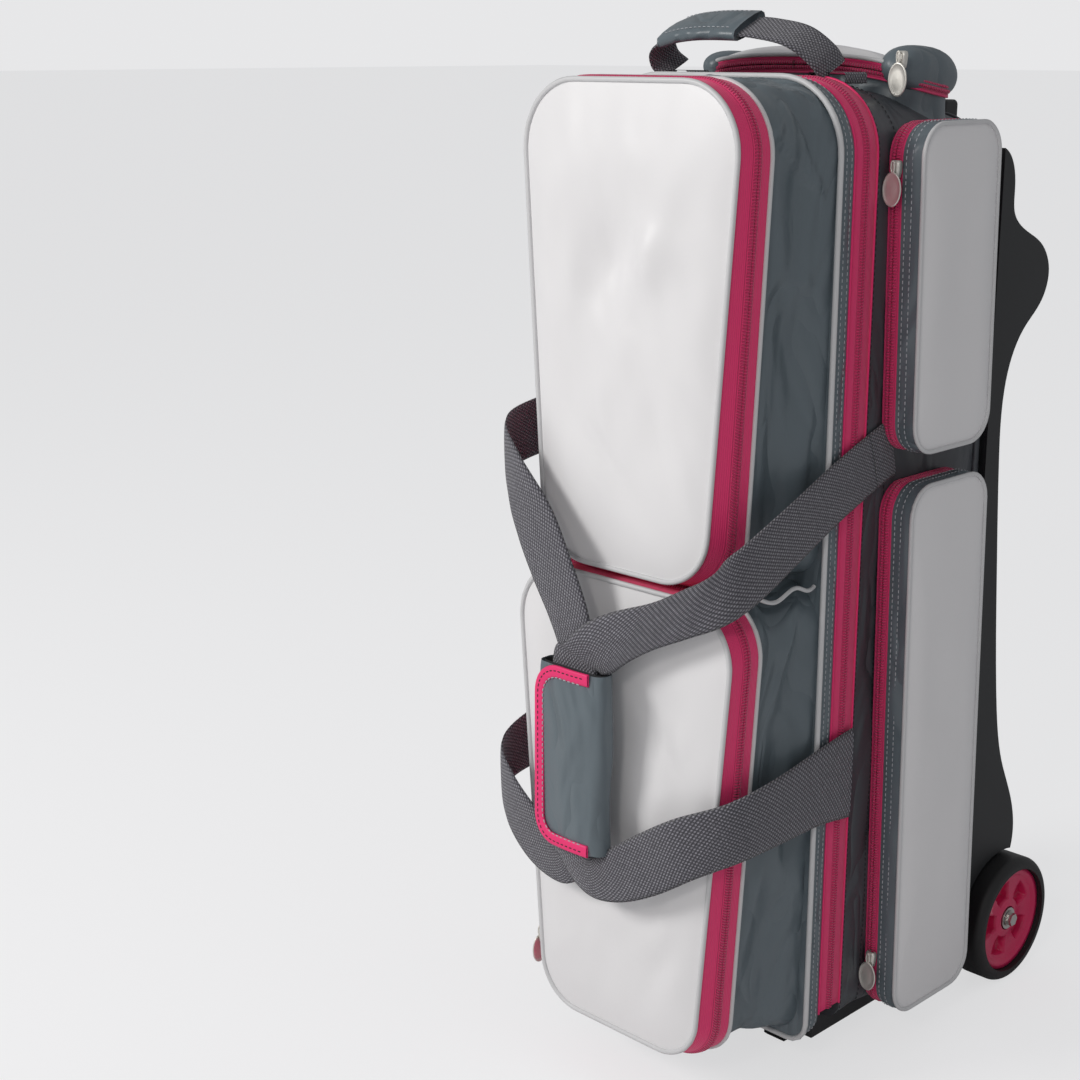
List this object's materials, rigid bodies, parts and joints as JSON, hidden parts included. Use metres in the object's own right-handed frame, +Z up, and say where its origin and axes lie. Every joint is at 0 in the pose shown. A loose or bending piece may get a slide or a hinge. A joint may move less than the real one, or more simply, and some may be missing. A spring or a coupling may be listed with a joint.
{
  "type": "bowling bag",
  "caption": "Upright roller bag for bowling balls: padded casing with stacked cradles, hinged front lid, zipped pockets, tow handle, wheels and webbing carry straps.",
  "frame": {"origin": "on the floor, at the middle of the bounding box in X and Y", "axes": "+Z up, -Y the front of the bag, +X its right-hand side"},
  "size_m": [0.326, 0.533, 0.9338],
  "materials": {
    "white_pu": "smooth coated cloth, semi-gloss",
    "grey_pu": "smooth coated cloth, semi-gloss",
    "webbing": "coarse woven polyester webbing",
    "zip_pink": "woven zipper tape",
    "black_plastic": "fine moulded texture",
    "feet_rubber": "matt",
    "tyre_rubber": "matt",
    "pink_plastic": "gloss",
    "steel": "zinc plated",
    "nickel": "satin nickel",
    "aluminium": "anodised",
    "foam": "cloth-covered foam"
  },
  "bodies": {
    "bag": {"base_tray": "black_plastic", "front_feet": "feet_rubber", "body_casing": "grey_pu", "back_board": "foam", "back_shell": "black_plastic", "back_rail_right": "black_plastic", "back_rail_left": "black_plastic", "axle": "steel", "handle_outer_tubes": "aluminium", "handle_collar": "black_plastic", "ball_cradle_lower": "foam", "ball_cradle_middle": "foam", "ball_cradle_upper": "foam", "zip_tape_body": "zip_pink", "top_pocket": "grey_pu", "slider_top": "nickel", "side_pocket_right_upper": "grey_pu", "side_pocket_right_lower": "grey_pu", "side_pocket_left_upper": "grey_pu", "side_pocket_left_lower": "grey_pu"},
    "lid": {"lid_frame": "grey_pu", "lid_panel": "foam", "zip_tape_lid": "zip_pink", "front_pocket_upper": "grey_pu", "front_pocket_lower": "grey_pu"},
    "front_flap_upper": {"front_door_upper": "white_pu"},
    "front_flap_lower": {"front_door_lower": "white_pu"},
    "top_flap": {"top_pocket_lid": "white_pu"},
    "carry_handle": {"top_handle_webbing": "webbing", "top_handle_pad": "grey_pu"},
    "tow_handle": {"handle_inner_tubes": "aluminium", "handle_grip": "black_plastic"},
    "button": {"release_button": "black_plastic"},
    "strap_loop_right": {"strap_right": "webbing", "grip_wrap": "grey_pu"},
    "strap_loop_left": {"strap_left": "webbing"},
    "wheel_right": {"tyre_right": "tyre_rubber", "wheel_hub_right": "pink_plastic", "bearings_right": "steel"},
    "side_flap_right_upper": {"side_door_right_upper": "white_pu"},
    "side_flap_right_lower": {"side_door_right_lower": "white_pu"},
    "wheel_left": {"tyre_left": "tyre_rubber", "wheel_hub_left": "pink_plastic", "bearings_left": "steel"},
    "side_flap_left_upper": {"side_door_left_upper": "white_pu"},
    "side_flap_left_lower": {"side_door_left_lower": "white_pu"},
    "pull_side_right_upper": {"slider_side_right_upper": "nickel"},
    "tag_side_right_upper": {"tag_side_right_upper": "nickel"},
    "pull_side_right_lower": {"slider_side_right_lower": "nickel"},
    "tag_side_right_lower": {"tag_side_right_lower": "nickel"},
    "pull_side_left_upper": {"slider_side_left_upper": "nickel"},
    "tag_side_left_upper": {"tag_side_left_upper": "nickel"},
    "pull_side_left_lower": {"slider_side_left_lower": "nickel"},
    "tag_side_left_lower": {"tag_side_left_lower": "nickel"},
    "pull_front_upper": {"slider_front_upper": "nickel"},
    "tag_front_upper": {"tag_front_upper": "nickel"},
    "pull_front_lower": {"slider_front_lower": "nickel"},
    "tag_front_lower": {"tag_front_lower": "nickel"},
    "tag_top": {"tag_top": "nickel"}
  },
  "joints": [
    {"name": "lid_hinge", "type": "hinge", "parent": "bag", "child": "lid", "pos_m": [0, -0.0873, 0.044], "axis": [1, 0, 0], "range_deg": [0, 100], "deforming": ["strap_right", "strap_left", "grip_wrap"]},
    {"name": "strap_right_swing", "type": "hinge", "parent": "bag", "child": "strap_loop_right", "pos_m": [0.128, -0.046, 0.43], "axis": [0, 0, 1], "range_deg": [0, 115]},
    {"name": "strap_left_swing", "type": "hinge", "parent": "bag", "child": "strap_loop_left", "pos_m": [-0.128, -0.046, 0.43], "axis": [0, 0, -1], "range_deg": [0, 115]},
    {"name": "front_flap_upper_hinge", "type": "hinge", "parent": "lid", "child": "front_flap_upper", "pos_m": [0, -0.226, 0.48], "axis": [1, 0, 0], "range_deg": [0, 60]},
    {"name": "front_flap_lower_hinge", "type": "hinge", "parent": "lid", "child": "front_flap_lower", "pos_m": [0, -0.226, 0.054], "axis": [1, 0, 0], "range_deg": [0, 60]},
    {"name": "top_flap_hinge", "type": "hinge", "parent": "bag", "child": "top_flap", "pos_m": [0, 0.0932, 0.873], "axis": [-1, 0, 0], "range_deg": [0, 80]},
    {"name": "carry_handle_tilt", "type": "hinge", "parent": "bag", "child": "carry_handle", "pos_m": [0, -0.038, 0.877], "axis": [1, 0, 0], "range_deg": [-25, 22], "deforming": ["top_handle_webbing"]},
    {"name": "tow_handle_slide", "type": "slide", "parent": "bag", "child": "tow_handle", "axis": [0, 0, 1], "range_m": [0, 0.4]},
    {"name": "release_press", "type": "slide", "parent": "tow_handle", "child": "button", "axis": [0, 0, -1], "range_m": [0, 0.003], "stiffness_N_per_m": 600, "springref_m": -0.002},
    {"name": "wheel_right_spin", "type": "hinge", "parent": "bag", "child": "wheel_right", "pos_m": [0.131, 0.203, 0.0635], "axis": [1, 0, 0], "continuous": true},
    {"name": "side_flap_right_upper_hinge", "type": "hinge", "parent": "bag", "child": "side_flap_right_upper", "pos_m": [0.1323, 0.0747, 0.7085], "axis": [0, -0.0334, 0.9994], "range_deg": [0, 70]},
    {"name": "side_flap_right_lower_hinge", "type": "hinge", "parent": "bag", "child": "side_flap_right_lower", "pos_m": [0.1323, 0.0912, 0.2955], "axis": [0, -0.0363, 0.9993], "range_deg": [0, 70]},
    {"name": "wheel_left_spin", "type": "hinge", "parent": "bag", "child": "wheel_left", "pos_m": [-0.131, 0.203, 0.0635], "axis": [1, 0, 0], "continuous": true},
    {"name": "side_flap_left_upper_hinge", "type": "hinge", "parent": "bag", "child": "side_flap_left_upper", "pos_m": [-0.1323, 0.0747, 0.7085], "axis": [0, 0.0334, -0.9994], "range_deg": [0, 70]},
    {"name": "side_flap_left_lower_hinge", "type": "hinge", "parent": "bag", "child": "side_flap_left_lower", "pos_m": [-0.1323, 0.0912, 0.2955], "axis": [0, 0.0363, -0.9993], "range_deg": [0, 70]},
    {"name": "slider_side_right_upper_slide", "type": "slide", "parent": "bag", "child": "pull_side_right_upper", "axis": [0, 0.0334, -0.9994], "range_m": [0, 0.2]},
    {"name": "tag_side_right_upper_swing", "type": "hinge", "parent": "pull_side_right_upper", "child": "tag_side_right_upper", "pos_m": [0.135, -0.0485, 0.8148], "axis": [-1, 0, 0], "range_deg": [0, 100]},
    {"name": "slider_side_right_lower_slide", "type": "slide", "parent": "bag", "child": "pull_side_right_lower", "axis": [0, -0.0283, 0.9996], "range_m": [0, 0.36]},
    {"name": "tag_side_right_lower_swing", "type": "hinge", "parent": "pull_side_right_lower", "child": "tag_side_right_lower", "pos_m": [0.135, -0.0273, 0.1068], "axis": [-1, 0, 0], "range_deg": [0, 100]},
    {"name": "slider_side_left_upper_slide", "type": "slide", "parent": "bag", "child": "pull_side_left_upper", "axis": [0, 0.0334, -0.9994], "range_m": [0, 0.2]},
    {"name": "tag_side_left_upper_swing", "type": "hinge", "parent": "pull_side_left_upper", "child": "tag_side_left_upper", "pos_m": [-0.135, -0.0485, 0.8148], "axis": [-1, 0, 0], "range_deg": [0, 100]},
    {"name": "slider_side_left_lower_slide", "type": "slide", "parent": "bag", "child": "pull_side_left_lower", "axis": [0, -0.0283, 0.9996], "range_m": [0, 0.36]},
    {"name": "tag_side_left_lower_swing", "type": "hinge", "parent": "pull_side_left_lower", "child": "tag_side_left_lower", "pos_m": [-0.135, -0.0273, 0.1068], "axis": [-1, 0, 0], "range_deg": [0, 100]},
    {"name": "slider_front_upper_slide", "type": "slide", "parent": "lid", "child": "pull_front_upper", "axis": [-0.0621, 0, 0.9981], "range_m": [0, 0.19]},
    {"name": "tag_front_upper_swing", "type": "hinge", "parent": "pull_front_upper", "child": "tag_front_upper", "pos_m": [-0.1087, -0.205, 0.5118], "axis": [0, 1, 0], "range_deg": [0, 100]},
    {"name": "slider_front_lower_slide", "type": "slide", "parent": "lid", "child": "pull_front_lower", "axis": [-0.0667, 0, 0.9978], "range_m": [0, 0.28]},
    {"name": "tag_front_lower_swing", "type": "hinge", "parent": "pull_front_lower", "child": "tag_front_lower", "pos_m": [-0.1093, -0.205, 0.1108], "axis": [0, 1, 0], "range_deg": [0, 100]},
    {"name": "tag_top_swing", "type": "hinge", "parent": "bag", "child": "tag_top", "pos_m": [0.106, -0.0057, 0.8998], "axis": [-1, 0, 0], "range_deg": [0, 18]}
  ],
  "couplings": [
    {"joint": "strap_right_swing", "follows": "lid_hinge", "ratio": 1.1},
    {"joint": "strap_left_swing", "follows": "lid_hinge", "ratio": 1.1}
  ]
}
